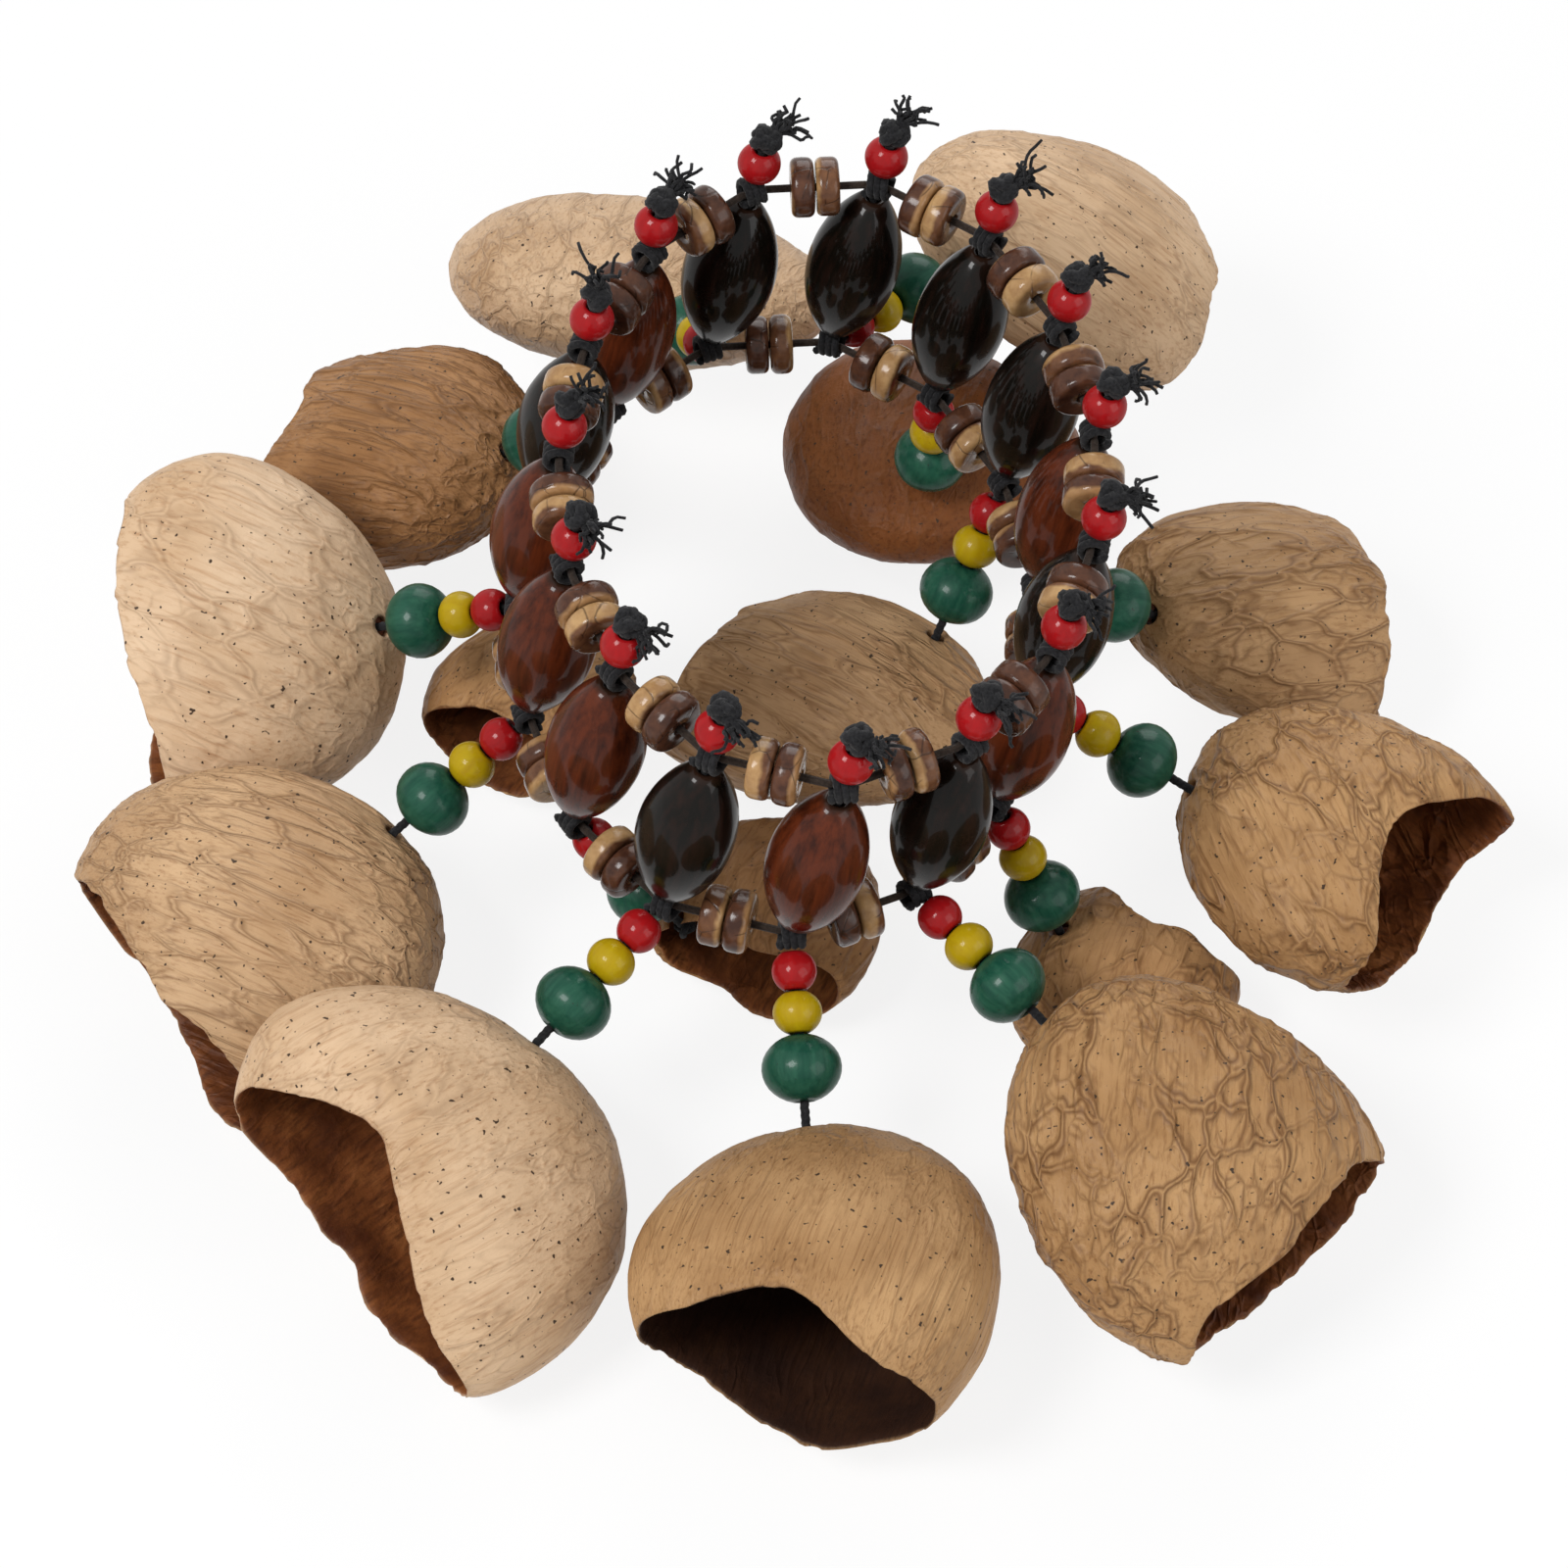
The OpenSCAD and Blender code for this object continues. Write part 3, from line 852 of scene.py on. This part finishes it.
def add_disc(build, pts, pick, pale):
    """A flat disc with round edges. A pale one has more of the tan layer."""
    axis = main_axis(pts, False)
    t, _ = span(pts, axis)
    c = middle_along(pts, axis)
    r = width(pts, axis) / 2 * pick.uniform(0.94, 0.995)
    edge = t * pick.uniform(0.26, 0.36)
    top = [(r * 1.004, 0.0), (r, t / 2 - edge)]
    for k in range(1, DISC_EDGE_STEPS):
        a = math.pi / 2 * k / DISC_EDGE_STEPS
        top.append((r - edge + edge * math.cos(a), t / 2 - edge + edge * math.sin(a)))
    top += [(r - edge, t / 2), (r * 0.55, t / 2), (DISC_BORE + DISC_EASE, t / 2),
            (DISC_BORE, t / 2 - DISC_EASE)]
    profile = [(q, -h) for q, h in top[:0:-1]] + top
    seed = pick.uniform(0, 70)

    def wobble(a, q, h):
        if q < 2 * DISC_BORE:
            return 1.0
        n1 = noise.noise(Vector((math.cos(a) * 0.9, math.sin(a) * 0.9, seed)))
        n2 = noise.noise(Vector((math.cos(a) * 5, math.sin(a) * 5, seed + h * 900)))
        return 0.955 + 0.030 * n1 + 0.010 * n2

    p, f = lathe(profile, c, axis, wobble)
    flip = pick.choice([-1, 1])
    meet = pick.uniform(-1.0, 0.7) if pale else pick.uniform(0.1, 1.7)
    layer = [flip * h / t * 2 for _, h in profile] * LATHE_SIDES
    build.add(p, f, layer=layer, meet=[meet] * len(p))


for tone, material in (("dark", DARK_DISC), ("pale", PALE_DISC)):
    for string in ("upper", "lower"):
        group = "%s_%s_discs" % (string, tone)
        build = Build()
        for k, p in enumerate(solids(group)):
            add_disc(build, p, random.Random(group + str(k)), tone == "pale")
        build.piece("%s_%s_coconut_discs" % (string, tone), [material], "band", group)

build = Build()
top_red = {}
for k, p in enumerate(solids("top_red_beads")):
    add_bead(build, p, lean, 0, random.Random(TOP_BEAD_SEED + k))
    c = middle_along(p, lean)
    near = min(TAGS, key=lambda t: np.linalg.norm(c - upper[t]))
    top_red[near] = (c, span(p, lean)[0])
build.piece("red_top_beads", [RED], "band", "top_red_beads")


# Strands: beads and thread

THREAD_R = 0.6 * MM
TWIST = 2200.0
PLIES = 3
STRAND_SEED = 500
STOP_KNOT_SIZE = 1.05 * MM
STOP_KNOT_R = 0.52 * MM
STOP_KNOT_BACK = 1.65 * MM
THREAD_BACK = 1.4 * MM
KNOT_STEPS = 60


def knot_path(centre, axis, size, turn):
    """An overhand knot pulled tight."""
    side, up = basis(axis)
    c, s = math.cos(turn), math.sin(turn)
    path = []
    for k in range(KNOT_STEPS + 1):
        t = 2 * math.pi * k / KNOT_STEPS
        x = math.sin(t) + 2 * math.sin(2 * t)
        y = math.cos(t) - 2 * math.cos(2 * t)
        z = -1.5 * math.sin(3 * t)
        a, b = x * c - y * s, x * s + y * c
        path.append(centre + size / 3.0 * (a * side + b * up + z * 0.9 * np.asarray(axis)))
    return path


def line(a, b, step=0.3 * MM):
    """Evenly spaced points from a to b."""
    n = max(3, int(np.linalg.norm(b - a) / step))
    return [a + (b - a) * k / n for k in range(n + 1)]


def add_twine(build, path, radius, sides):
    """Twisted cotton along points."""
    build.add(*tube(path, radius, sides, PLIES, TWIST))


for i, tag in enumerate(TAGS):
    pick = random.Random(STRAND_SEED + i)
    start = lower[tag]
    way = unit(hole[tag] - start)
    beads, thread = "strand_beads_" + tag, "strand_thread_" + tag
    build = Build()
    outward = sorted(solids(beads), key=lambda p: np.linalg.norm(p.mean(0) - start))
    for slot_index, p in enumerate(outward):
        add_bead(build, p, way, slot_index, pick)
    build.piece("strand_wood_beads_" + tag, [RED, YELLOW, GREEN], "strand_" + tag, beads)
    t = (solids(thread)[0] - start) @ way
    build = Build()
    add_twine(build, line(start + way * t.min(), start + way * (t.max() - THREAD_BACK)),
              THREAD_R, 12)
    knot_at = start + way * (t.max() - STOP_KNOT_BACK)
    add_twine(build, knot_path(knot_at, way, STOP_KNOT_SIZE, i), STOP_KNOT_R, 8)
    build.piece("strand_twine_" + tag, [COTTON], "strand_" + tag, thread)


# The band's thread: wraps round both strings, and a frayed knot on top of each station

WRAP_TURNS = 3.4
WRAP_STEPS = 22
WRAP_R = 1.5 * MM
WRAP_PITCH = 0.88 * MM
WRAP_THREAD_R = 0.55 * MM
KNOT_SEED = 700
KNOT_RISE = 1.7 * MM
FRAYED_PLIES = 18
FRAY_R = 0.28 * MM
FRAY_STEPS = 9
TAIL_R = 0.95 * MM
TAIL_LENGTH = 1.9 * MM
FRAY_START = 1.6 * MM
FRAY_SPREAD = 0.7 * MM
FRAY_CURL = 0.50 * MM


def wrap_path(centre, along):
    """A coil round a string."""
    side, up = basis(along)
    n = int(WRAP_TURNS * WRAP_STEPS)
    path = []
    for k in range(n + 1):
        a = 2 * math.pi * WRAP_TURNS * k / n
        on = along * WRAP_PITCH * (WRAP_TURNS * k / n - WRAP_TURNS / 2)
        path.append(centre + WRAP_R * (math.cos(a) * side + math.sin(a) * up) + on)
    return path


def next_to(places, i):
    """The string's direction at a station."""
    return unit(places[TAGS[(i + 1) % STATIONS]] - places[TAGS[i - 1]])


build = Build()
for i, tag in enumerate(TAGS):
    for places in (lower, upper):
        add_twine(build, wrap_path(places[tag], next_to(places, i)), WRAP_THREAD_R, 8)
    c, h = top_red[tag]
    clear = lean * WRAP_R
    add_twine(build, line(lower[tag] + clear, upper[tag] - clear), THREAD_R, 10)
    add_twine(build, line(upper[tag] + clear, c + lean * (h / 2 + 0.8 * MM)), THREAD_R, 10)
build.piece("station_twine", [COTTON], "band", "station_threads")

loop_middle = sum(upper.values()) / STATIONS


def any_way(pick):
    """A random vector within a cube."""
    return np.array([pick.uniform(-1, 1) for _ in range(3)])


def frayed_knot(build, at, tail, pick, turn):
    """A ball of overhand knots, and the cut end whose plies have come apart."""
    balls = ((lean, 1.45, 0.84), (tail, 1.30, 0.78), (np.cross(lean, tail), 1.40, 0.72))
    for way, size, thick in balls:
        add_twine(build, knot_path(at, unit(way), size * MM, turn), thick * MM, 8)
        turn += 1.9
    side, up = basis(tail)
    add_twine(build, line(at, at + tail * TAIL_LENGTH), TAIL_R, 10)
    radii = [FRAY_R * (1 - 0.2 * step / FRAY_STEPS) for step in range(FRAY_STEPS + 1)]
    for ply in range(FRAYED_PLIES):
        a = 2.4 * ply + pick.uniform(-0.3, 0.3)
        out = math.sqrt((ply + 0.5) / FRAYED_PLIES)
        away = math.cos(a) * side + math.sin(a) * up
        root = at + tail * FRAY_START + FRAY_SPREAD * out * away
        bend = any_way(pick) * 0.5
        size = pick.uniform(1.5, 3.2) * MM
        path = []
        for step in range(FRAY_STEPS + 1):
            f = step / FRAY_STEPS
            curl = FRAY_CURL * f * np.array([math.sin(8 * f + ply), math.cos(9 * f + ply),
                                             math.sin(7 * f + 2 * ply)])
            path.append(root + size * f * (tail + (0.35 + 0.55 * f) * out * away + bend * f) + curl)
        build.add(*tube(path, radii, 7, 2, 1.5 * TWIST))


# The tails point to the right and outward, and rise more at the back
build = Build()
for i, tag in enumerate(TAGS):
    pick = random.Random(KNOT_SEED + i)
    c, h = top_red[tag]
    outward = upper[tag] - loop_middle
    outward = unit([outward[0], outward[1], 0])
    rise = 0.15 + 0.35 * outward[1]
    tail = unit(0.65 * np.array([1.0, 0, 0]) + 0.50 * outward + rise * np.array([0, 0, 1.0])
                + 0.25 * any_way(pick))
    frayed_knot(build, c + lean * (h / 2 + KNOT_RISE), tail, pick, 1.7 * i)
build.piece("frayed_knots", [COTTON], "band", "top_knots")

for name in ("upper_elastic", "lower_elastic"):
    data = frame["nodes"][name].data
    data.materials.clear()
    data.materials.append(ELASTIC)


# Floor, light and camera

FLOOR_HALF = 3.0
FLOOR_DROP = 0.4 * MM
FLOOR_WHITE = 0.85
SKY_LIGHT = 0.30
WHITE = (1, 1, 1, 1)
FOCAL_LENGTH = 101.0
SENSOR = 36.0
CAMERA_AIM = Vector((-1.7, 12.8, -2.6)) * MM
CAMERA_ELEVATION = math.radians(50)
CAMERA_DISTANCE = 0.6


def backdrop_rays(tree):
    """1 for rays that show the white background: the camera's, and those in gloss or glass."""
    path = add(tree, "ShaderNodeLightPath").outputs
    either = math_node(tree, "MAXIMUM", path["Is Camera Ray"], path["Is Glossy Ray"])
    return math_node(tree, "MAXIMUM", either, path["Is Transmission Ray"])


def floor_material():
    """Nearly white to the camera, and a plain grey surface to light."""
    m = bpy.data.materials.new("pale_floor")
    m.use_nodes = True
    t = m.node_tree
    t.nodes.clear()
    out = t.nodes.new("ShaderNodeOutputMaterial")
    seen = add(t, "ShaderNodeEmission", Color=WHITE, Strength=1.0)
    soft = add(t, "ShaderNodeBsdfDiffuse", Color=(0.86, 0.86, 0.86, 1))
    both = add(t, "ShaderNodeMixShader", Fac=FLOOR_WHITE, i1=soft.outputs[0], i2=seen.outputs[0])
    last = add(t, "ShaderNodeMixShader", Fac=backdrop_rays(t), i1=soft.outputs[0],
               i2=both.outputs[0])
    t.links.new(last.outputs[0], out.inputs["Surface"])
    return m


bm = bmesh.new()
bmesh.ops.create_grid(bm, x_segments=8, y_segments=8, size=FLOOR_HALF)
floor_mesh = bpy.data.meshes.new("floor")
bm.to_mesh(floor_mesh)
bm.free()
floor_mesh.materials.append(floor_material())
floor = bpy.data.objects.new("floor", floor_mesh)
floor.location = (0, 0, -FLOOR_DROP)
scene.collection.objects.link(floor)

world = scene.world or bpy.data.worlds.new("world")
scene.world = world
world.use_nodes = True
tree = world.node_tree
tree.nodes.clear()
sky = add(tree, "ShaderNodeBackground", Color=WHITE, Strength=SKY_LIGHT)
white = add(tree, "ShaderNodeBackground", Color=WHITE, Strength=1.0)
both = add(tree, "ShaderNodeMixShader", Fac=backdrop_rays(tree), i1=sky.outputs[0],
           i2=white.outputs[0])
add(tree, "ShaderNodeOutputWorld", Surface=both.outputs[0])


def lamp(name, place, aim, size, power):
    """A square lamp that faces a point."""
    data = bpy.data.lights.new(name, "AREA")
    data.size = size
    data.energy = power
    obj = bpy.data.objects.new(name, data)
    obj.location = place
    obj.rotation_euler = (Vector(aim) - Vector(place)).to_track_quat("-Z", "Y").to_euler()
    scene.collection.objects.link(obj)


lamp("key", place=(-0.45, -0.35, 0.75), aim=(0, 0, 0.03), size=0.32, power=6.6)
lamp("fill", place=(0.65, -0.45, 0.45), aim=(0, 0, 0.03), size=0.6, power=2.6)
lamp("back", place=(0.15, 0.75, 0.60), aim=(0, 0, 0.04), size=0.6, power=3.8)

camera = bpy.data.cameras.new("camera")
camera.lens = FOCAL_LENGTH
camera.sensor_width = SENSOR
camera.clip_start = 0.01
view = bpy.data.objects.new("camera", camera)
back, rise = math.cos(CAMERA_ELEVATION), math.sin(CAMERA_ELEVATION)
view.location = CAMERA_AIM + Vector((0, -back, rise)) * CAMERA_DISTANCE
view.rotation_euler = (CAMERA_AIM - view.location).to_track_quat("-Z", "Y").to_euler()
scene.collection.objects.link(view)
scene.camera = view
scene.view_settings.view_transform = "Standard"
